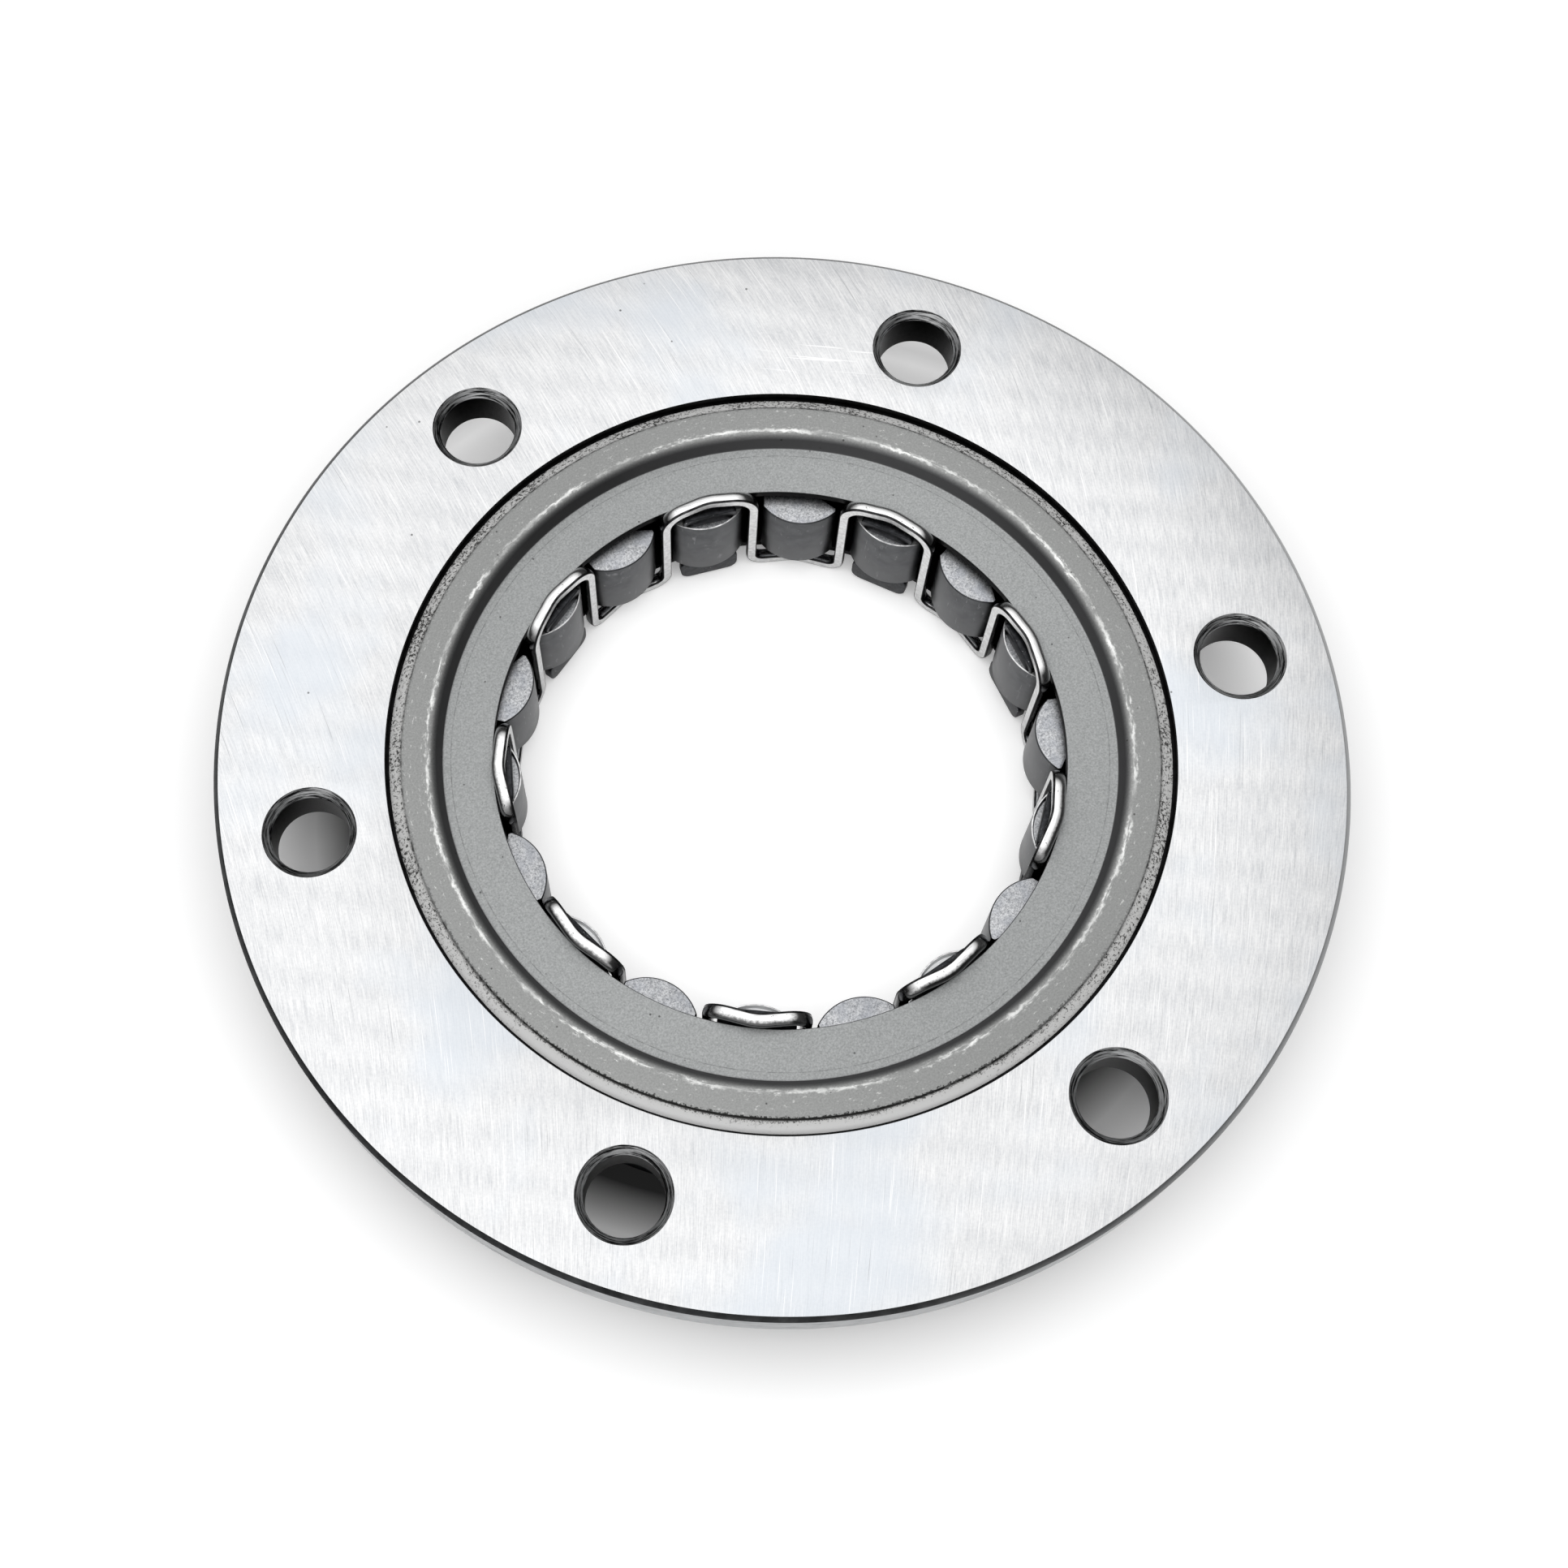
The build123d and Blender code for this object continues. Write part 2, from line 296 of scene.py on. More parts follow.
# Cold rolled sheet, pressed and tumbled: satin grey plate, drawn wall painted dark as painted shade,
# brighter worn corners
coverFinish = {
    "plate": "#C7C9C9", "plateDark": "#A2A4A4", "rim": "#B8B9B8", "rimDark": "#A0A1A0", "shadedWall": "#606061",
    "worn": "#F6F7F5", "bevel": "#BEBEBD", "bevelSheen": "#CACACA", "bevelPit": "#333231", "paintedShade": "#242423",
    "pit": "#2D2C2A", "edge": "#1A1A1A", "line": "#6E6F6F",
    "openingEdge": 31.60, "lineRadius": 36.2, "wallInner": 37.10, "wallOuter": 37.80,   # radii, in mm
    "shadeInner": 38.2, "shadeOuter": 38.6, "wearRadius": 38.62, "bevelInner": 41.5,
    "wearWidth": 0.34, "wearRagged": 0.28, "wearGrain": (0.30, 1.7), "scratchGrain": (3.2, 1.3, 1.0),
    "shadeLow": 2.2, "shadeHigh": 15.3,   # heights between which the inside faces take painted shade
    # Patterns: how many to a mm, detail and unevenness
    "grain": (4.6, 4, 0.8), "patches": (0.16, 3, 0.55), "smears": (1.1, 4, 0.7), "flecks": (3.0, 4, 0.8),
    "pitsPerMm": 0.42, "roughness": 0.46, "grainDepth": 0.010, "anisotropy": 0.8,
}


def pressedSteel():
    f = coverFinish
    material, tree = newMaterial("pressedSheetSteel")
    place = millimetres(tree)
    axes, flat, radius = fromAxis(tree, place)
    front = towards(tree, flat, cameraSide)
    grain, patches, smears, flecks = (
        addNode(tree, "TexNoise", {"Vector": place, "Scale": perMm, "Detail": detail, "Roughness": rough})
        for perMm, detail, rough in (f["grain"], f["patches"], f["smears"], f["flecks"]))

    # Plate, rim and the drawn wall between them; the wall is painted dark, painted shade on the steep step
    plate = layOver(tree, f["plateDark"], f["plate"], grain, 0.36, 0.64)
    rim = layOver(tree, f["rimDark"], f["rim"], grain, 0.36, 0.64)
    colour = layOver(tree, plate, rim, radius, f["wallOuter"], f["wallOuter"] + 0.2)
    wallEnd = addNode(tree, "MapRange", [radius, f["wallOuter"] - 0.1, f["wallOuter"] + 0.5, 1.0, 0.0])
    wallStart = f["wallInner"] - 0.04, f["wallInner"] + 0.04
    colour = layOver(tree, colour, f["shadedWall"], radius, *wallStart, share=wallEnd)

    # Wear on the rim's inner corner: a ragged band, rubbed through in streaks round the ring
    ragged = addNode(tree, "MapRange", [smears, *noiseSpan, -f["wearRagged"], f["wearRagged"]])
    ragged = addNode(tree, "Math", [radius, ragged], operation="ADD")
    band = addNode(tree, "Math", [ragged, f["wearRadius"]], operation="SUBTRACT")
    band = addNode(tree, "Math", [band], operation="ABSOLUTE")
    worn = addNode(tree, "MapRange", [band, f["wearWidth"] * 0.2, f["wearWidth"], 1.0, 0.0])
    along, across = f["wearGrain"]
    angle = addNode(tree, "Math", [axes[1], axes[0]], operation="ARCTAN2")
    ringWay = addNode(tree, "CombineXYZ", [
        addNode(tree, "Math", [angle, f["wearRadius"] * along], operation="MULTIPLY"),
        addNode(tree, "Math", [radius, across], operation="MULTIPLY")])
    rubbed = addNode(tree, "TexNoise", {"Vector": ringWay, "Scale": 1.0, "Detail": 4, "Roughness": 0.75})
    for mask in ([rubbed, 0.44, 0.54], [patches, 0.40, 0.58, 0.35, 1.0]):
        worn = addNode(tree, "Math", [worn, addNode(tree, "MapRange", mask)], operation="MULTIPLY")
    colour = layOver(tree, colour, f["worn"], worn)

    # Short scratches on the rim, and a draw line near the plate's outer edge
    scratchWay = addNode(tree, "VectorMath", [ringWay, f["scratchGrain"]], operation="MULTIPLY")
    scratches = addNode(tree, "TexNoise", {
        "Vector": scratchWay, "Scale": 1.0, "Detail": 5, "Roughness": 0.8})
    onFlat = within(tree, radius, f["wearRadius"] - 0.3, f["bevelInner"], 0.3)
    colour = layOver(tree, colour, f["worn"], scratches, 0.59, 0.66, 0, 0.85, share=onFlat)
    drawLine = within(tree, radius, f["lineRadius"] - 0.08, f["lineRadius"] + 0.08, 0.06)
    colour = layOver(tree, colour, f["line"], smears, 0.4, 0.6, 0.15, 0.6, share=drawLine)

    # Pitted bevel, painted paler and less pitted on the side towards the camera: a painted sheen
    side = addNode(tree, "MapRange", [front, 0.55 * f["bevelInner"], 0.97 * f["bevelInner"]])
    offCrease = addNode(tree, "MapRange", [radius, f["bevelInner"] + 0.1, f["bevelInner"] + 0.8, 0.0, 0.09])
    paintedSheen = addNode(tree, "Math", [side, offCrease], operation="MULTIPLY")
    pitting = addNode(tree, "Math", [patches, 0.2, paintedSheen], operation="MULTIPLY_ADD")
    pitting = addNode(tree, "Math", [flecks, 0.8, pitting], operation="MULTIPLY_ADD")
    bevel = layOver(tree, f["bevelPit"], f["bevel"], pitting, 0.44, 0.49)
    bevel = layOver(tree, bevel, f["bevelSheen"], paintedSheen, share=8.0)
    onBevel = addNode(tree, "MapRange", [radius, f["bevelInner"], f["bevelInner"] + 0.08])
    colour = layOver(tree, colour, bevel, onBevel)

    # Painted shade in the crease at the bevel's inner edge, and ragged painted shade that creeps out from it
    # on the camera's side
    crease = within(tree, radius, f["bevelInner"] - 0.14, f["bevelInner"] + 0.16, 0.08)
    paintedShade = addNode(tree, "MapRange", [smears, 0.4, 0.6, 0.1, 0.8])
    paintedShade = addNode(tree, "Math", [side, 0.9, paintedShade], operation="MULTIPLY_ADD")
    paintedShade = addNode(tree, "Math", [crease, paintedShade], operation="MULTIPLY")
    reach = addNode(tree, "MapRange", [flecks, 0.40, 0.68, 0.04, 0.50])
    away = addNode(tree, "Math", [radius, f["bevelInner"]], operation="SUBTRACT")
    away = addNode(tree, "Math", [away], operation="ABSOLUTE")
    stainAndShade = addNode(tree, "Math", [reach, away], operation="SUBTRACT")
    stainAndShade = addNode(tree, "MapRange", [stainAndShade, 0.0, 0.08])
    cameraSideShade = addNode(tree, "MapRange", [front, 0.3 * f["bevelInner"], 0.9 * f["bevelInner"], 0.25, 0.9])
    stainAndShade = addNode(tree, "Math", [stainAndShade, cameraSideShade], operation="MULTIPLY")
    colour = layOver(tree, colour, f["paintedShade"], addNode(tree, "Math", [paintedShade, stainAndShade], operation="MAXIMUM"))

    # Sheared edge of the opening, pits, and the faces inside towards the sprags; the edge and these faces
    # are painted near black, painted shade between the parts
    sheared = f["openingEdge"] - 0.04, f["openingEdge"] + 0.04
    colour = layOver(tree, colour, f["edge"], radius, *sheared, 1, 0)
    pits = addNode(tree, "TexVoronoi", {"Vector": place, "Scale": f["pitsPerMm"]}, "Distance")
    colour = layOver(tree, colour, f["pit"], pits, 0.035, 0.065, 1, 0, share=0.7)
    inside = within(tree, axes[2], f["shadeLow"], f["shadeHigh"], 0.1)
    colour = layOver(tree, colour, f["edge"], radius, f["shadeInner"], f["shadeOuter"], 1, 0, share=inside)

    # Worn places are smoother, and the bevel is rougher and duller
    roughness = addNode(tree, "Math", [worn, -0.2, f["roughness"]], operation="MULTIPLY_ADD")
    roughness = addNode(tree, "Math", [onBevel, 0.16, roughness], operation="MULTIPLY_ADD")
    metallic = addNode(tree, "MapRange", [onBevel, 0, 1, 1.0, 0.2])
    finishMetal(tree, colour, roughness, grain, f["grainDepth"], f["anisotropy"], metallic)
    return material


# Zigzag spring, in millimetres. In one flat stretch the route goes half a run, a bend, a leg, a bend and
# half a run.
wire = {
    "width": 1.24, "thick": 1.47, "flat": 1.02, "topBend": 2.3, "footBend": 1.52, "kinkRound": 6.5,
    "legDistance": 30.605, "endGap": 0.36, "height": 17.5,
    "arcSteps": 12, "kinkSteps": 5, "legSteps": 6, "roundSteps": 31, "seamSteps": 2, "seam": 0.07,
    "sharp": 60,
    "bright": "#FBFBFB", "streakAndReflection": "#77787A", "nick": "#3A3A3A", "paintedShade": "#3C3C3D", "shadeShare": 0.82,
    "streakGrain": (4.5, 0.45, 4.5),   # streaks per mm outwards, round the set and upwards
    "legEnd": 1.9,   # the legs take painted shade but for this much of the height at each end
}


# Hard drawn spring wire, bright rolled: mirror-like on its round sides, with dark streaks, partly draw marks
# and partly painted reflection. Painted shade darkens its legs and the sides of its bends, and towards the
# camera its outward side.
def brightWire():
    w = wire
    material, tree = newMaterial("brightSpringWire")
    place = millimetres(tree)
    axes, flat, radius = fromAxis(tree, place)
    angle = addNode(tree, "Math", [axes[1], axes[0]], operation="ARCTAN2")
    around = addNode(tree, "Math", [angle, w["legDistance"]], operation="MULTIPLY")
    drawn = addNode(tree, "CombineXYZ", [
        addNode(tree, "Math", [way, grain], operation="MULTIPLY")
        for way, grain in zip((radius, around, axes[2]), w["streakGrain"])])
    streaksAndReflections = addNode(tree, "TexNoise", {"Vector": drawn, "Scale": 1.0, "Detail": 3, "Roughness": 0.6})
    nicks = addNode(tree, "TexNoise", {"Vector": place, "Scale": 2.6, "Detail": 2, "Roughness": 0.6})
    # Dark streaks: draw marks and painted reflection
    colour = layOver(tree, w["bright"], w["streakAndReflection"], streaksAndReflections, 0.54, 0.72, 0, 0.45)
    colour = layOver(tree, colour, w["nick"], nicks, 0.70, 0.74, 0, 0.8)

    # Painted shade and painted dark reflection on the legs, the bends' sides and the outward side
    normal = addNode(tree, "TexCoord", output="Normal")
    spoke = addNode(tree, "VectorMath", [flat], operation="NORMALIZE")
    cross = addNode(tree, "VectorMath", [spoke, (0, 0, 1)], operation="CROSS_PRODUCT")
    outward = addNode(tree, "VectorMath", [normal, spoke], "Value", operation="DOT_PRODUCT")
    sideward = addNode(tree, "VectorMath", [normal, cross], "Value", operation="DOT_PRODUCT")
    ragged = addNode(tree, "MapRange", [nicks, *noiseSpan, -0.12, 0.12])
    outward = addNode(tree, "Math", [outward, ragged], operation="ADD")
    outward = addNode(tree, "MapRange", [outward, 0.24, 0.56])
    atFront = addNode(tree, "MapRange", [towards(tree, flat, cameraSide), -8, 12])
    sideward = addNode(tree, "Math", [sideward], operation="ABSOLUTE")
    sideward = addNode(tree, "MapRange", [sideward, 0.30, 0.75])
    onLeg = within(tree, axes[2], w["legEnd"], w["height"] - w["legEnd"], 0.5)
    shadeMask = addNode(tree, "Math", [outward, atFront], operation="MULTIPLY")
    for part in (sideward, onLeg):
        shadeMask = addNode(tree, "Math", [shadeMask, part], operation="MAXIMUM")
    colour = layOver(tree, colour, w["paintedShade"], shadeMask, share=w["shadeShare"])
    finishMetal(tree, colour, addNode(tree, "MapRange", [streaksAndReflections, *noiseSpan, 0.09, 0.18]), streaksAndReflections, 0.010)
    return material


# Colours of the sprags. Shaded: the distances from the axis, in mm, between which painted shade darkens a
# face.
spragFinish = {
    "side": "#47484A", "sidePale": "#5A5B5D", "scratch": "#8A8B8D",
    "sideShade": "#121213", "sideShaded": (29.8, 30.9),
    # Tongue colours, dark grey: painted shade under the cams and the wire
    "scale": "#2C2D2F", "tongueShadePale": "#444548", "chip": "#C8C9CB",
    "end": "#8A8C90", "endPale": "#E0E1E3", "cloud": "#A9ADB6", "pit": "#3E3E40", "hollow": "#E4E5E6",
    "worn": "#A8A9AA", "wornPaleSheen": "#F6F6F6", "wornShade": "#2A2A2B", "wornShaded": (29.9, 30.5),
}


# Hardened steel, barrel polished: smooth dark grey with faint slanting scratches, and flanks painted darker
# outwards, painted shade in the gaps between the parts
def spragSide():
    f = spragFinish
    material, tree = newMaterial("hardenedSpragSteel")
    place = millimetres(tree)
    tilt = addNode(tree, "Mapping", {
        "Vector": place, "Rotation": (0.6, 0.5, 0.3), "Scale": (0.5, 5.0, 0.5)})
    scratch = addNode(tree, "TexNoise", {"Vector": tilt, "Scale": 1.0, "Detail": 3, "Roughness": 0.6})
    mottling = addNode(tree, "TexNoise", {"Vector": place, "Scale": 0.7, "Detail": 3})
    colour = layOver(tree, f["side"], f["sidePale"], mottling, *noiseSpan)
    colour = layOver(tree, colour, f["scratch"], scratch, 0.62, 0.72, 0, 0.5)
    colour = layOver(tree, colour, f["sideShade"], fromAxis(tree, place)[2], *f["sideShaded"], 0, 0.9)
    roughness = addNode(tree, "MapRange", [mottling, *noiseSpan, 0.28, 0.36])
    finishMetal(tree, colour, roughness, scratch, 0.001)
    return material


# Tongues are painted dark grey: painted shade for their place under the cams and the wire
def darkTongue():
    f = spragFinish
    material, tree = newMaterial("shadeDarkTongue")
    place = millimetres(tree)
    scale = addNode(tree, "TexNoise", {"Vector": place, "Scale": 1.6, "Detail": 4, "Roughness": 0.6})
    chips = addNode(tree, "TexNoise", {"Vector": place, "Scale": 3.4, "Detail": 3, "Roughness": 0.7})
    colour = layOver(tree, f["scale"], f["tongueShadePale"], scale, 0.35, 0.65)
    colour = layOver(tree, colour, f["chip"], chips, 0.66, 0.72, 0, 0.8)
    finishMetal(tree, colour, 0.40, scale, 0.004)
    return material


def tumbled(tree, place):  # the fine specks that tumbling leaves, and their colour
    specks = addNode(tree, "TexNoise", {"Vector": place, "Scale": 4.5, "Detail": 4, "Roughness": 0.85})
    return specks, layOver(tree, spragFinish["end"], spragFinish["endPale"], specks, 0.38, 0.60)


# Sprag ends, sheared and tumbled: paler
def spragEnd():
    material, tree = newMaterial("tumbledSpragEnds")
    place = millimetres(tree)
    specks, colour = tumbled(tree, place)
    patches = addNode(tree, "TexNoise", {"Vector": place, "Scale": 0.5, "Detail": 3})
    colour = layOver(tree, colour, spragFinish["cloud"], patches, 0.45, 0.65, 0, 0.45)
    colour = layOver(tree, colour, spragFinish["pit"], specks, 0.30, 0.36, 0.8, 0)
    finishMetal(tree, colour, 0.40, specks, 0.008)
    return material


# Hollow beside the tongue, coined: painted paler and duller towards the camera's side, a painted light
def coinedHollow():
    material, tree = newMaterial("coinedHollowSteel")
    place = millimetres(tree)
    specks, colour = tumbled(tree, place)
    paintedLight = addNode(tree, "MapRange", [towards(tree, place, cameraSide), 4, 16, 0.0, 0.85])
    colour = layOver(tree, colour, spragFinish["hollow"], paintedLight)
    metallic = addNode(tree, "Math", [1.0, paintedLight], operation="SUBTRACT")
    finishMetal(tree, colour, 0.42, specks, 0.006, 0.0, metallic)
    return material


# Narrow edges, bright partly from wear and partly as a painted highlight, with painted shade behind them
def wornEdge():
    f = spragFinish
    material, tree = newMaterial("wornEdgeAndSheen")
    place = millimetres(tree)
    wearAndSheen = addNode(tree, "TexNoise", {"Vector": place, "Scale": 1.2, "Detail": 3, "Roughness": 0.6})
    colour = layOver(tree, f["worn"], f["wornPaleSheen"], wearAndSheen, 0.3, 0.6)
    colour = layOver(tree, colour, f["wornShade"], fromAxis(tree, place)[2], *f["wornShaded"])
    finishMetal(tree, colour, 0.3)
    return material


metals = {
    "ground": groundSteel(), "turned": turnedSteel("turnedSteelEdge", "#7E8082", "#ACAEB0", "#686A6C"),
    # Painted shade: the hub and the flange's underside near black
    "hub": turnedSteel("shadeDarkHubSteel", "#1D1E1F", "#343537", "#161718", 0.5),
    "chamfer": brokenEdge(), "drilled": drilledSteel(),
    # Painted shade: the pocket's wall and the faces inside the race near black
    "pocketShade": patchySteel("shadedPocketSteel", "#111111", "#232324", 0.8, 0.5, 0.5),   # the pocket's wall
    "pressed": pressedSteel(), "wire": brightWire(),
    "wireFlat": patchySteel("rubbedSpringWire", "#CFCFCF", "#F0F0F0", 2.2, 0.6, 0.45, 0.004),   # rubbed matt
    "seamShade": patchySteel("shadedWireSeam", "#1C1C1D", "#4A4A4B", 1.4, 0.5, 0.4),   # the flat's edges, painted dark: a painted reflection of the shade below
    "spragSide": spragSide(), "spragEnd": spragEnd(), "tongue": darkTongue(), "worn": wornEdge(),
    "hollow": coinedHollow(),
}
print("materials made:", len(metals))


# Mesh helpers. A grid is an array of points, rows by columns, and its faces join neighbours in both.

def gridFaces(rows, columns, closeRows, closeColumns):
    r = np.arange(rows - (not closeRows))[:, None]
    c = np.arange(columns - (not closeColumns))[None, :]
    row, nextRow, nextColumn = r * columns, (r + 1) % rows * columns, (c + 1) % columns
    corners = [row + c, nextRow + c, nextRow + nextColumn, row + nextColumn]
    return np.stack(np.broadcast_arrays(*corners), axis=-1).reshape(-1, 4)


def facingOut(points, faces):  # turns the faces over where the volume they enclose comes out negative
    a, b, c, d = (points[faces[:, k]] for k in range(4))
    volume = np.einsum("ij,ij->", a, np.cross(b, c)) + np.einsum("ij,ij->", a, np.cross(c, d))
    return faces if volume > 0 else faces[:, ::-1]


def addMesh(name, points, faces, materials, faceMaterial=None, sharp=35):
    mesh = bpy.data.meshes.new(name)
    mesh.from_pydata(points.tolist(), [], [list(face) for face in faces])
    for material in materials:
        mesh.materials.append(metals[material])
    if faceMaterial is not None:
        mesh.polygons.foreach_set("material_index", np.asarray(faceMaterial, dtype=np.int32))
    mesh.shade_smooth()
    mesh.set_sharp_from_angle(angle=math.radians(sharp))
    piece = bpy.data.objects.new(name, mesh)
    scene.collection.objects.link(piece)
    return piece


# Closed outline from (across, up, round). Each corner becomes an arc tangent to both sides: with half the
# corner's angle h, the tangent points lie round / tan h from the corner and the centre round / sin h.
def roundedOutline(corners, steps):
    outline = []
    places = np.array([corner[:2] for corner in corners], dtype=float)
    for index, here in enumerate(places):
        radius = corners[index][2]
        if radius <= 0:
            outline.append(here[None])
            continue
        before = places[index - 1] - here
        after = places[(index + 1) % len(places)] - here
        before /= np.linalg.norm(before)
        after /= np.linalg.norm(after)
        half = math.acos(np.clip(before @ after, -1, 1)) / 2
        middle = (before + after) / np.linalg.norm(before + after)
        centre = here + middle * radius / math.sin(half)
        first = here + before * radius / math.tan(half) - centre
        last = here + after * radius / math.tan(half) - centre
        sweep = math.atan2(first[0] * last[1] - first[1] * last[0], first @ last)
        turn = np.linspace(0, sweep, steps + 1)[:, None]
        side = np.array([-first[1], first[0]])
        outline.append(centre + np.cos(turn) * first + np.sin(turn) * side)
    return np.concatenate(outline)


# A profile point goes round Z, its radius times the angle's cosine and sine
def turnedPoints(outline, steps):
    angle = np.linspace(0, 2 * np.pi, steps, endpoint=False)[None, :]
    radius, height = outline[:, :1], outline[:, 1:]
    return np.stack([radius * np.cos(angle), radius * np.sin(angle), height + 0 * angle], axis=-1) * mm


def turnedPiece(name, corners, materials, steps, arcSteps):
    outline = roundedOutline(corners, arcSteps)
    points = turnedPoints(outline, steps).reshape(-1, 3)
    faces = gridFaces(len(outline), steps, True, True)
    return addMesh(name, points, facingOut(points, faces), materials)


def carve(piece, cutter):  # takes the cutter's space out of the piece and removes the cutter
    cut = piece.modifiers.new("cut", "BOOLEAN")
    cut.operation = "DIFFERENCE"
    cut.solver = "EXACT"
    cut.object = cutter
    bpy.context.view_layer.update()
    carved = bpy.data.meshes.new_from_object(piece.evaluated_get(bpy.context.evaluated_depsgraph_get()))
    piece.modifiers.clear()
    piece.data = carved
    bpy.data.objects.remove(cutter)
    return carved


def perFace(mesh, name, size, kind=float):  # one property of all faces, as rows of so many values
    values = np.empty(len(mesh.polygons) * size, dtype=kind)
    mesh.polygons.foreach_get(name, values)
    return values.reshape(-1, size)


def stackedRings(rings):  # closed solid from rings of equal count, with a flat face over each end
    levels, count = rings.shape[:2]
    faces = [list(face) for face in gridFaces(levels, count, False, True)[:, ::-1]]
    last = (levels - 1) * count
    faces += [list(range(count))[::-1], list(range(last, last + count))]
    return rings.reshape(-1, 3), faces


# Flange, hub and bore in one turned piece, drilled afterwards
def outerRace():
    r = race
    pocket = [(r["pocket"], 0, r["pocketRound"]), (r["pocket"], r["pocketDepth"], 0),
              (r["shelf"], r["pocketDepth"], r["pocketRound"]), (r["shelf"], r["shelfDepth"], 0),
              (r["raceway"], r["shelfDepth"], r["racewayRound"])]
    upper = [(radius, r["top"] - depth, turn) for radius, depth, turn in pocket]
    lower = [(radius, depth, turn) for radius, depth, turn in reversed(pocket)]
    rim = r["flange"] - r["edge"]
    outside = [
        (r["hub"], 0, r["hubEdge"]),
        (r["hub"], r["underside"], r["root"]),
        (rim, r["underside"], r["arris"]),
        (r["flange"], r["underside"] + r["edge"], r["arris"]),
        (r["flange"], r["top"] - r["edge"], r["arris"]),
        (rim, r["top"], r["topArris"]),
    ]
    metal = ["ground", "turned", "drilled", "pocketShade", "chamfer", "hub"]
    body = turnedPiece("outer_race", upper + lower + outside, metal, r["steps"], r["arcSteps"])

    # The cutter follows the hole and its cones, on past both faces by the overshoot
    wide = r["mouth"] + r["overshoot"]
    side = roundedOutline([
        (wide, r["underside"] - r["overshoot"], 0),
        (r["hole"], r["underside"] + r["countersink"], r["holeRound"]),
        (r["hole"], r["top"] - r["countersink"], r["holeRound"]),
        (wide, r["top"] + r["overshoot"], 0)], r["holeArcSteps"])
    azimuth = np.arange(r["bolts"]) * 2 * np.pi / r["bolts"]
    holes = np.stack([np.cos(azimuth), np.sin(azimuth), 0 * azimuth], axis=-1) * r["boltCircle"]
    points, faces = stackedRings(turnedPoints(side, r["holeSteps"]))
    allPoints = (points[None] + holes[:, None, :] * mm).reshape(-1, 3)
    allFaces = [[corner + k * len(points) for corner in face] for k in range(r["bolts"]) for face in faces]
    drilled = carve(body, addMesh("hole_cutter", allPoints, allFaces, ["drilled"]))

    # Each face gets its metal from where it lies and how far it faces up
    centre = perFace(drilled, "center", 3) / mm
    upward = perFace(drilled, "normal", 3)[:, 2]
    level = 0.95   # faces that look up or down more than this are flat
    radius = np.hypot(centre[:, 0], centre[:, 1])
    nearest = np.linalg.norm(centre[:, None, :2] - holes[None, :, :2], axis=-1).min(axis=1)
    kind = np.where(radius > rim - 0.05, metal.index("turned"), metal.index("hub"))
    kind[(upward > level) & (radius > r["pocket"] - 0.2)] = metal.index("ground")
    kind[(radius > rim - 0.02) & (upward > 0.3) & (upward < level)] = metal.index("chamfer")
    kind[(nearest < r["mouth"] + 0.2) & (np.abs(upward) < level)] = metal.index("drilled")
    # Faces inside the race take the near black of painted shade
    kind[radius < r["pocket"] + 0.02] = metal.index("pocketShade")
    drilled.polygons.foreach_set("material_index", kind.astype(np.int32))
    drilled.shade_smooth()
    drilled.set_sharp_from_angle(angle=math.radians(r["sharp"]))
    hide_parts("outer_race_flange")
    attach(body, "outer_race")


outerRace()
print("outer race made")


# Cover rings: the same pressing above and below, turned over about the middle height. All in millimetres.
cover = {
    "profile": [   # distance from the axis, height, and how round the corner is
        (31.53, 14.6, 0.12), (31.53, 15.6, 0.12),   # opening, cut from 1.0 sheet
        (37.13, 15.6, 0.35), (38.06, 17.4, 1.1),   # plate and the wall drawn up from it
        (41.47, 17.4, 0.25), (42.88, 16.45, 0.03),   # rim and its bevel
        (42.88, 16.4, 0), (39.0, 16.4, 0), (39.0, 14.6, 0.2),   # seat on the race's shelf, and the back
    ],
    "middle": 8.75, "steps": 384, "arcSteps": 8,
}


def coverRing(name, node, flip):
    profile = cover["profile"]
    if flip:
        profile = [(radius, 2 * cover["middle"] - height, turn) for radius, height, turn in profile]
    ring = turnedPiece(name, profile, ["pressed"], cover["steps"], cover["arcSteps"])
    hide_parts(node)
    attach(ring, "outer_race")


coverRing("front_cover", "front_cover_ring", False)
coverRing("rear_cover", "rear_cover_ring", True)
print("cover rings made")


# The sprag set: pieces stand at equal angles, the first at firstAngle, in degrees
spragSet = {"count": 18, "firstAngle": 13.4}
firstTurn = math.radians(spragSet["firstAngle"])
pitch = 2 * math.pi / spragSet["count"]


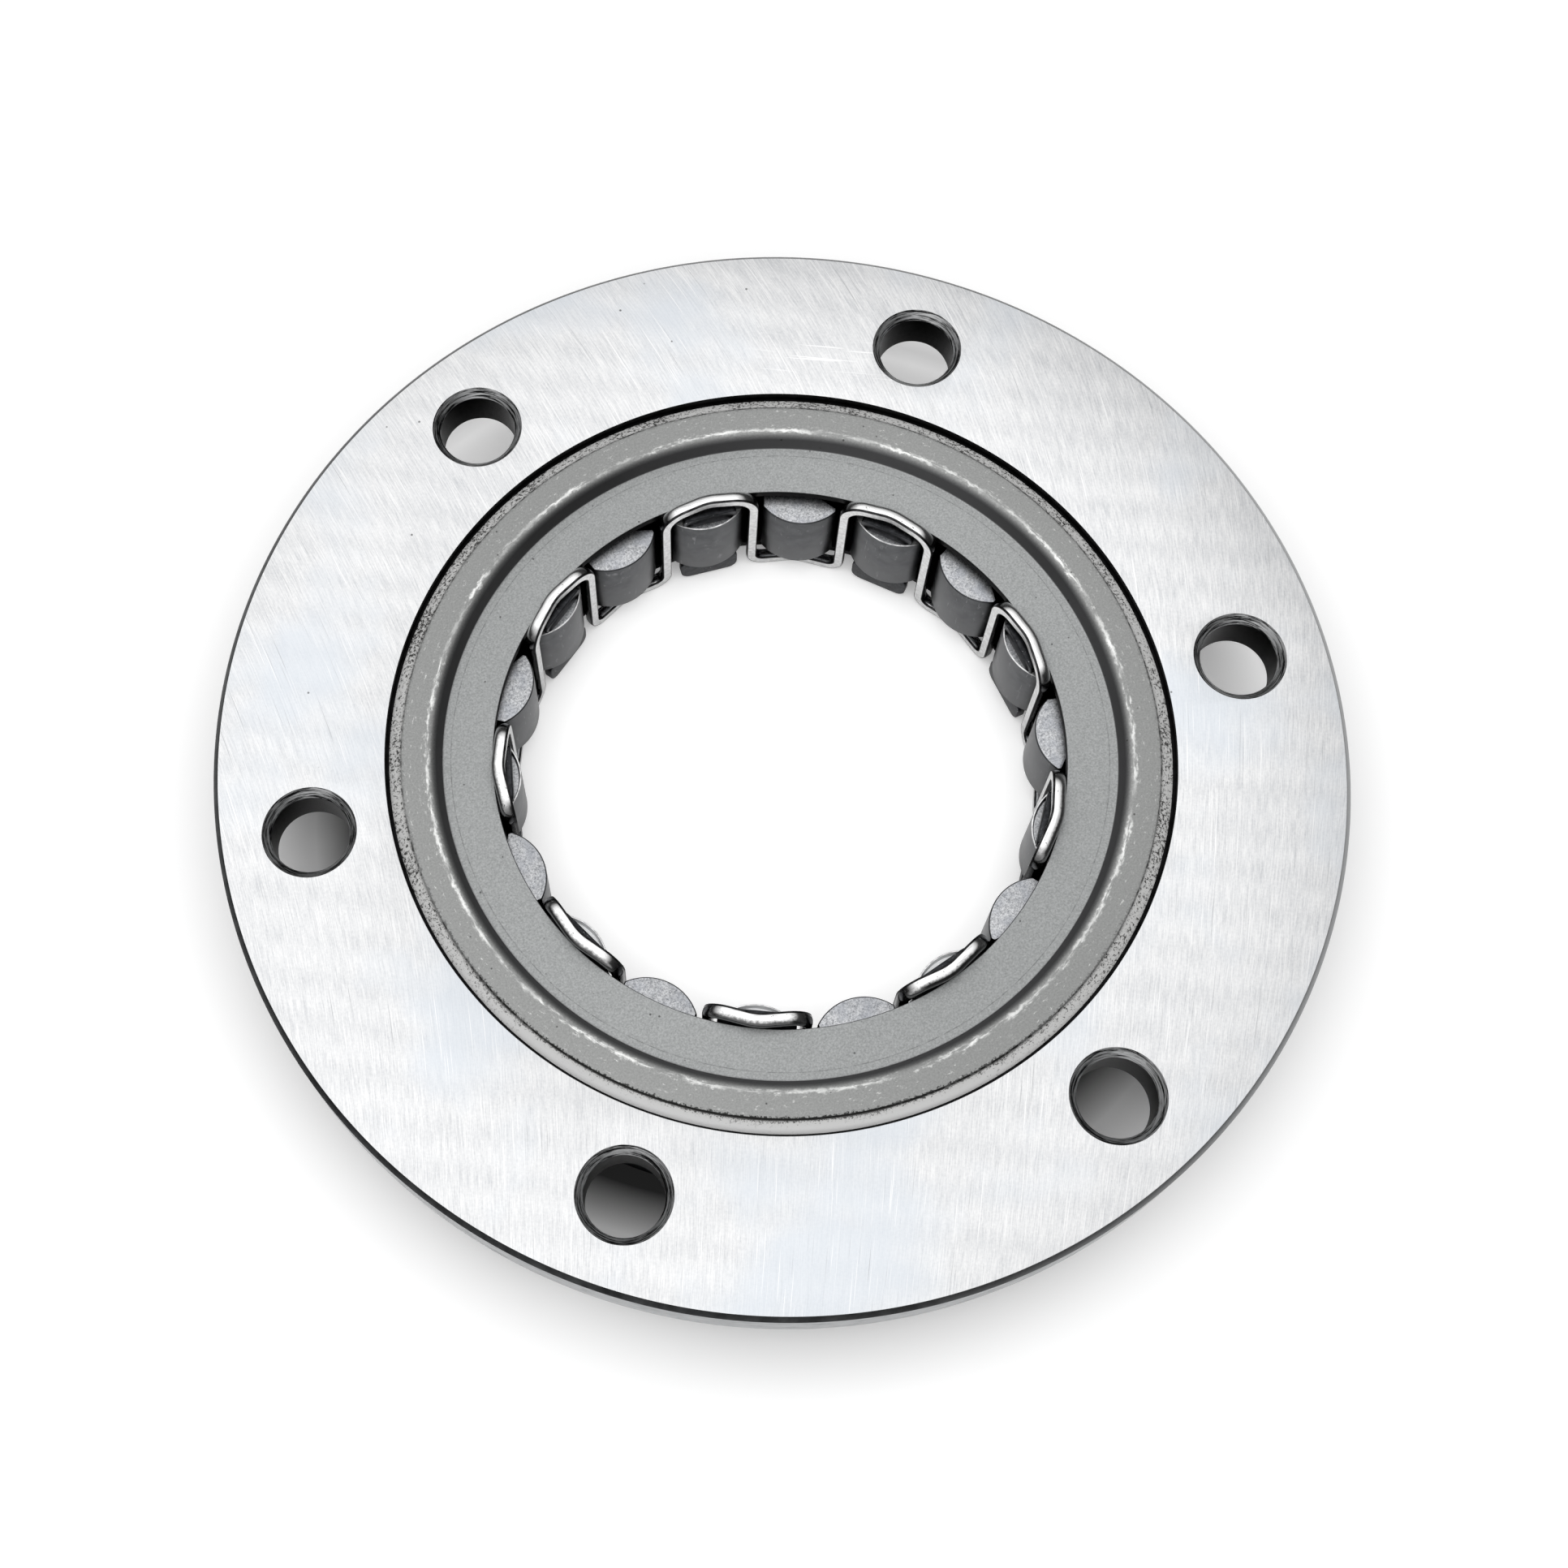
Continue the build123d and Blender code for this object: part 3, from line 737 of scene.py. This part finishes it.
# A rounded section carried along the route. At a sprag's middle two flat stretches meet: the route turns
# there by one pitch on an arc, which starts at arc radius times tan(pitch / 2) from the corner.
def springWire():
    w = wire
    half = pitch / 2
    distance = w["legDistance"]
    high = w["height"] - w["endGap"] - w["width"] / 2
    low = w["endGap"] + w["width"] / 2
    arc = np.linspace(0, np.pi / 2, w["arcSteps"] + 1)
    kink = np.linspace(half, 0, w["kinkSteps"] + 1)
    kinkAlong = (w["kinkRound"] - distance) * math.tan(half) - w["kinkRound"] * np.sin(kink)
    flat = np.zeros(len(kink))

    def stretch(a, b):  # half a run, a bend of radius a, a leg, a bend of radius b and half a run
        leg = np.linspace(a, high - low - b, w["legSteps"])[1:-1]
        along = np.concatenate([kinkAlong, -a + a * np.sin(arc), 0 * leg, b - b * np.cos(arc),
                                -kinkAlong[:0:-1]])
        across = np.concatenate([flat, a - a * np.cos(arc), leg, high - low - b + b * np.sin(arc),
                                 flat[1:] + high - low])
        heading = np.concatenate([flat, arc, 0 * leg + np.pi / 2, np.pi / 2 - arc, flat[1:]])
        return along, across, heading

    falling, rising = stretch(w["topBend"], w["footBend"]), stretch(w["footBend"], w["topBend"])
    straight = len(falling[0]) - 2 * len(kink) + 1
    lean = np.concatenate([kink, np.zeros(straight), -kink[:0:-1]])[:, None]
    sink = w["kinkRound"] * (1 - np.cos(lean))

    # Section: an ellipse with a flat. It meets the flat where its sine is flat / width. Half its length
    # follows from the flat at -thick / 2 and the tip at +thick / 2.
    end = math.pi - math.asin(w["flat"] / w["width"])
    long = w["thick"] / (1 - math.cos(end))
    around = np.linspace(-end, end, w["roundSteps"])
    tip, rubbed = w["thick"] / 2, w["flat"] / 2 - w["seam"]
    oval = np.stack([tip - long + long * np.cos(around), w["width"] / 2 * np.sin(around)], axis=-1)
    section = np.concatenate([oval, [(-tip, rubbed), (-tip, -rubbed)]])
    reach, rise = section[None, :, :1], section[None, :, 1:]

    upward = np.array([0, 0, 1])
    rows = []
    for index in range(spragSet["count"]):
        sign = 1 if index % 2 == 0 else -1   # 1 where the leg falls
        along, passed, heading = falling if sign == 1 else rising
        level = high - passed if sign == 1 else low + passed
        turn = firstTurn - (index + 0.5) * pitch
        outward = np.array([math.cos(turn), math.sin(turn), 0])
        clockwise = np.array([math.sin(turn), -math.cos(turn), 0])
        spoke = np.cos(lean) * outward - np.sin(lean) * clockwise
        ahead = np.cos(lean) * clockwise + np.sin(lean) * outward
        centre = (distance - sink) * outward + along[:, None] * clockwise + level[:, None] * upward
        across = sign * np.sin(heading)[:, None] * ahead + np.cos(heading)[:, None] * upward
        rows.append(centre[:, None] + reach * spoke[:, None] + rise * across[:, None])
    grid = np.concatenate(rows) * mm
    faces = gridFaces(grid.shape[0], grid.shape[1], True, True)
    points = grid.reshape(-1, 3)
    metal = ["wire", "wireFlat", "seamShade"]
    step = faces[:, 0] % grid.shape[1]
    # Faces beside the flat take the seam's painted dark
    kind = np.where((step < w["seamSteps"]) | (step >= w["roundSteps"] - 1 - w["seamSteps"]), 2, 0)
    kind[step == w["roundSteps"]] = 1
    piece = addMesh("spring_wire", points, facingOut(points, faces), metal, kind, w["sharp"])
    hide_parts("meander_spring")
    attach(piece, "sprag_cage")


springWire()
print("spring made")


# Sprags, in millimetres: inner cam, neck and an outer head set off to one side
sprag = {
    "camRadius": 5.64, "bore": 28.58, "camHalf": 4.25, "camFlat": 0.45, "neckRise": 1.6, "neckHalf": 3.4,
    "headRadius": 4.4, "headHalf": 4.3, "headOffset": 1.0, "pivot": 32.76, "edge": 0.14, "middle": 8.75,
    "plainLength": 9.8, "tongueLength": 10.0, "tongueLift": 0.45,
    "tongueFront": 29.54, "tongueThick": 1.1, "topWidth": 6.3, "bottomWidth": 6.9, "rise": 1.2, "drop": 3.65,
    "topCorner": 0.45, "bottomCorner": 1.2, "topRoot": 2, "bottomRoot": 0.3,   # roots lie inside the body
    "dishDepth": 0.55, "dishSlope": 0.35, "dishOver": 0.3, "dishUnder": 0.5, "dishReach": 0.97,
    "lip": 0.15, "lipEdge": 0.05, "camSteps": 41, "headSteps": 33, "cornerSteps": 6, "sharp": 40,
}
spragMetals = ["spragSide", "spragEnd", "tongue", "worn", "hollow"]


def spragOutline():  # plan, outward along +Y: cam arc, right side, head arc, left side
    s = sprag
    pivotReach = math.sqrt(s["pivot"] ** 2 - s["headOffset"] ** 2)
    camCentre = s["bore"] + s["camRadius"]
    camTurn = math.asin(s["camHalf"] / s["camRadius"])
    cam = np.linspace(-camTurn, camTurn, s["camSteps"])
    camArc = np.stack([s["camRadius"] * np.sin(cam), camCentre - s["camRadius"] * np.cos(cam)], axis=-1)
    headTurn = math.asin(s["headHalf"] / s["headRadius"])
    head = np.linspace(headTurn, -headTurn, s["headSteps"])
    headArc = np.stack([s["headRadius"] * np.sin(head) - s["headOffset"],
                        pivotReach + s["headRadius"] * np.cos(head)], axis=-1)
    shoulder, neck = camArc[-1, 1] + s["camFlat"], camArc[-1, 1] + s["neckRise"]
    right = np.array([(s["camHalf"], shoulder), (s["neckHalf"] - s["headOffset"], neck)])
    left = np.array([(-s["neckHalf"] - s["headOffset"], neck), (-s["camHalf"], shoulder)])
    return np.concatenate([camArc, right, headArc, left])


# The outline carried up in rings. Near both ends it draws in along its normals by a quarter circle. At a
# corner it draws in by the edge over the cosine of half the turn, which is kept from growing too large.
def roundedPrism(outline, low, high, edge, steps=3):
    ahead = np.roll(outline, -1, axis=0) - outline
    ahead /= np.linalg.norm(ahead, axis=1, keepdims=True)
    edgeNormal = np.stack([ahead[:, 1], -ahead[:, 0]], axis=-1)
    normal = edgeNormal + np.roll(edgeNormal, 1, axis=0)
    normal /= np.maximum(np.einsum("ij,ij->i", normal, edgeNormal), 0.4)[:, None]
    turn = np.linspace(0, np.pi / 2, steps + 1)
    inset = np.concatenate([1 - np.sin(turn), (1 - np.sin(turn))[::-1]]) * edge
    level = np.concatenate([low + edge - edge * np.cos(turn), (high - edge + edge * np.cos(turn))[::-1]])
    plan = outline[None] - inset[:, None, None] * normal[None]
    height = np.broadcast_to(level[:, None, None], (len(level), len(outline), 1))
    points, faces = stackedRings(np.concatenate([plan, height], axis=-1))
    ends = [spragMetals.index("spragEnd")] * 2
    return points, faces, [spragMetals.index("spragSide")] * (len(faces) - 2) + ends


# Plate seen from the front as a rounded rectangle, carried back by its thickness, with small round edges
def tonguePlate(low, high, width, corner):
    s = sprag
    face = roundedOutline([(-width / 2, low, corner), (width / 2, low, corner),
                           (width / 2, high, corner), (-width / 2, high, corner)], s["cornerSteps"])
    points, faces = roundedPrism(face, 0, s["tongueThick"], s["edge"])[:2]
    back = s["tongueFront"] + s["tongueThick"]
    upright = np.stack([points[:, 0], back - points[:, 2], points[:, 1]], axis=-1)
    return upright, faces, [spragMetals.index("tongue")] * len(faces)


def joinShells(shells):
    faces, kinds, start = [], [], 0
    for points, shellFaces, shellKinds in shells:
        faces += [[corner + start for corner in face] for face in shellFaces]
        kinds += shellKinds
        start += len(points)
    return np.concatenate([shell[0] for shell in shells]), faces, kinds


def plainSprag():
    s = sprag
    low = s["middle"] - s["plainLength"] / 2
    return roundedPrism(spragOutline(), low, low + s["plainLength"], s["edge"])


# Cutter for the hollow before the tongue: a D between the cam's lip and the tongue, narrower further down.
# It starts above the end by dishOver, and its straight side lies inside the tongue by dishUnder.
def dish(high):
    s = sprag
    depth = np.array([-s["dishOver"], s["dishDepth"]])[:, None]
    camCentre = s["bore"] + s["camRadius"]
    inset = s["lip"] + s["dishSlope"] * depth
    radius = s["camRadius"] - inset
    back = s["tongueFront"] + s["dishUnder"] + 0 * depth
    chord = np.sqrt(radius ** 2 - (camCentre - back) ** 2)
    reach = np.minimum(s["topWidth"] / 2 - inset, s["dishReach"] * chord)
    across = np.linspace(-1, 1, s["camSteps"])[None, :] * reach
    arc = camCentre - np.sqrt(radius ** 2 - across ** 2)
    x = np.concatenate([across, reach, -reach], axis=1)
    y = np.concatenate([arc, back, back], axis=1)
    rings = np.stack([x, y, high - depth + 0 * x], axis=-1)
    return stackedRings(rings[::-1])


def tongueSprag():
    s = sprag
    low = s["middle"] + s["tongueLift"] - s["tongueLength"] / 2
    high = low + s["tongueLength"]
    points, faces, kinds = roundedPrism(spragOutline(), low, high, s["lipEdge"])
    body = addMesh("dished_body", points, faces, spragMetals, kinds)
    points, faces = dish(high)
    kinds = [spragMetals.index("hollow")] * len(faces)
    carved = carve(body, addMesh("dish_cutter", points, faces, spragMetals, kinds))
    kinds = perFace(carved, "material_index", 1, np.int32)[:, 0]
    # The top faces of the lip take the worn edge, partly a painted highlight
    kinds[perFace(carved, "center", 3)[:, 2] > high - s["lipEdge"]] = spragMetals.index("worn")
    points = np.empty(len(carved.vertices) * 3)
    carved.vertices.foreach_get("co", points)
    block = points.reshape(-1, 3), [list(face.vertices) for face in carved.polygons], kinds.tolist()
    bpy.data.objects.remove(body)
    return joinShells([
        block,
        tonguePlate(high - s["topRoot"], high + s["rise"], s["topWidth"], s["topCorner"]),
        tonguePlate(low - s["drop"], low + s["bottomRoot"], s["bottomWidth"], s["bottomCorner"]),
    ])


def placeSprags():
    kinds = [tongueSprag(), plainSprag()]
    for index in range(spragSet["count"]):
        points, faces, faceMetals = kinds[index % 2]
        turn = firstTurn - index * pitch - math.pi / 2
        cos, sin = math.cos(turn), math.sin(turn)
        spin = np.array([[cos, -sin, 0], [sin, cos, 0], [0, 0, 1]])
        node = f"sprag_{index + 1:02d}"
        points = points @ spin.T * mm
        piece = addMesh(node + "_body", points, faces, spragMetals, faceMetals, sprag["sharp"])
        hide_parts(node)
        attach(piece, node)


placeSprags()
print("sprags made")


# Studio: a white sweep, one large soft lamp at the upper right of the picture and a pale sky. Directions
# are in the picture's own frame, and a spread gives the cosines at which a light starts and is full.
studio = {
    "floorHalf": 3.0, "floorColour": "#F2F2F2", "floorShade": "#242424", "floorGlow": 0.01,
    "shadeStart": (-3, -2), "shadeEnd": (0.5, 5.7),   # mm from the hub's wall, below the flange
    "shadeShift": (-15, 15, 0.0, 1.5),   # on the left it ends further out, by up to 1.5 mm
    "boreGlow": 0.25, "boreStart": (12, 24), "boreEnd": (32, 36),   # paper seen through the bore
    "underGlow": 0.23, "underTurn": 170, "underSpread": (-15, 23), "underInner": 49, "underFade": 2,
    "skyMiddle": (-0.20, 0.10, 0.975), "skySpread": (0.42, 0.97), "skyLow": 0.05, "skyLevel": 1.25,
    "front": (-0.15, -0.96, 0.23), "frontSpread": (0.68, 0.92), "frontLevel": 0.50,   # behind the camera
    "lampPower": 7.8, "lampSize": 1.2, "lampAzimuth": -92.77, "lampReach": 0.22, "lampHeight": 0.80,
}


def makeFloor():
    s = studio
    material, tree = newMaterial("whitePaperSweep")
    axes, flat, radius = fromAxis(tree, millimetres(tree))
    leftward = towards(tree, flat, cameraSide - math.pi / 2)
    shift = addNode(tree, "MapRange", [leftward, *s["shadeShift"]])
    shifted = addNode(tree, "Math", [radius, shift], operation="SUBTRACT")
    start = addNode(tree, "MapRange", [radius, *(race["hub"] + edge for edge in s["shadeStart"])])
    end = [race["hub"] + edge for edge in s["shadeEnd"]]
    shade = layOver(tree, s["floorColour"], s["floorShade"], shifted, *end, 1, 0, share=start)
    paper = addNode(tree, "BsdfDiffuse", {"Color": shade})

    # The paper glows a little for the camera alone: in the bore, and below the flange on the far right
    outside = addNode(tree, "MapRange", [radius, *s["boreStart"]])
    inside = addNode(tree, "MapRange", [radius, *s["boreEnd"], 1.0, 0.0])
    bore = addNode(tree, "Math", [outside, inside], operation="MULTIPLY")
    bore = addNode(tree, "MapRange", [bore, 0.0, 1.0, s["floorGlow"], s["boreGlow"]])
    farward = towards(tree, flat, cameraSide + math.radians(s["underTurn"]))
    under = addNode(tree, "MapRange", [farward, *s["underSpread"], 0.0, s["underGlow"]])
    belt = within(tree, radius, s["underInner"], race["flange"], s["underFade"])
    glow = addNode(tree, "Math", [under, belt, bore], operation="MULTIPLY_ADD")
    seen = addNode(tree, "LightPath", output="Is Camera Ray")
    glow = addNode(tree, "Math", [seen, glow], operation="MULTIPLY")
    glow = addNode(tree, "Emission", {"Color": (1, 1, 1, 1), "Strength": glow})
    addNode(tree, "OutputMaterial", {"Surface": addNode(tree, "AddShader", [paper, glow])}, None)

    half = s["floorHalf"]
    mesh = bpy.data.meshes.new("floor")
    corners = [(-half, -half, 0), (half, -half, 0), (half, half, 0), (-half, half, 0)]
    mesh.from_pydata(corners, [], [(0, 1, 2, 3)])
    mesh.materials.append(material)
    floor = bpy.data.objects.new("floor", mesh)
    scene.collection.objects.link(floor)


def makeSky():
    s = studio
    world = bpy.data.worlds.new("softSky")
    world.use_nodes = True
    tree = world.node_tree
    tree.nodes.clear()
    ray = addNode(tree, "TexCoord", output="Generated")
    rays = addNode(tree, "LightPath", output=None).outputs
    cos, sin = math.cos(photoTurn), math.sin(photoTurn)
    parts = []
    for name in ("skyMiddle", "front"):  # how far the ray runs along each direction
        x, y, z = s[name]
        turned = (x * cos + y * sin, y * cos - x * sin, z)
        parts.append(addNode(tree, "VectorMath", [ray, turned], "Value", operation="DOT_PRODUCT"))
    level = addNode(tree, "MapRange", [parts[0], *s["skySpread"], s["skyLow"], s["skyLevel"]])
    patch = addNode(tree, "MapRange", [parts[1], *s["frontSpread"], 0.0, s["frontLevel"]])
    level = addNode(tree, "Math", [patch, rays["Is Glossy Ray"], level], operation="MULTIPLY_ADD")
    level = addNode(tree, "Math", [level, rays["Is Camera Ray"]], operation="ADD")   # white past the floor
    sky = addNode(tree, "Background", {"Color": (1, 1, 1, 1), "Strength": level})
    addNode(tree, "OutputWorld", {"Surface": sky}, None)
    scene.world = world


def makeLamp():
    data = bpy.data.lights.new("softLamp", "AREA")
    data.energy = studio["lampPower"]
    data.size = studio["lampSize"]
    lamp = bpy.data.objects.new("softLamp", data)
    place = polar(studio["lampReach"], studio["lampAzimuth"], studio["lampHeight"])
    lamp.location = place
    lamp.rotation_euler = (-place).to_track_quat("-Z", "Y").to_euler()
    lamp.visible_glossy = False   # the metals reflect the sky alone; the lamp gives the soft shadow
    scene.collection.objects.link(lamp)


makeFloor()
makeSky()
makeLamp()
print("studio set")
